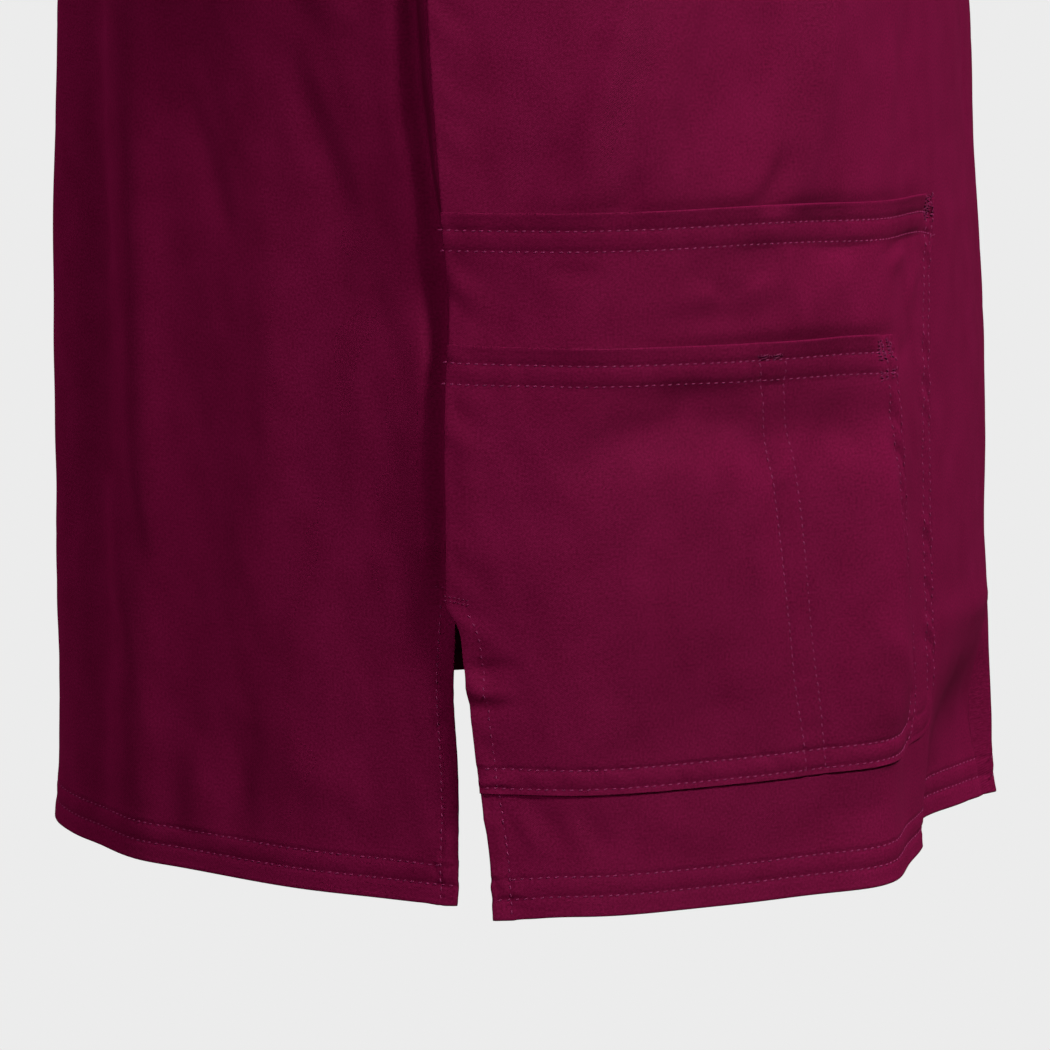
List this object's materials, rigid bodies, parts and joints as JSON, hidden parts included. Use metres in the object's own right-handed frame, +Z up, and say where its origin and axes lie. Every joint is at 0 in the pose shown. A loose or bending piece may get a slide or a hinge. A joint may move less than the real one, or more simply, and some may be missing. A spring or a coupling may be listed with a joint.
{
  "type": "scrub top",
  "caption": "Short-sleeved V-neck scrub top with side vents and a two-tier patch pocket with a pen division.",
  "frame": {"origin": "midway between the two neck points of the shoulder seams, where the garment hangs on its wearer", "axes": "+Z up, the garment's front faces -Y, +X towards the wearer's left"},
  "size_m": [0.7364, 0.3285, 0.7271],
  "materials": {
    "twill": "matte"
  },
  "bodies": {
    "root": {"front": "twill", "back": "twill", "sleeve_right": "twill", "sleeve_left": "twill", "neckband": "twill", "pocket_large": "twill", "pocket_small": "twill"}
  },
  "joints": []
}
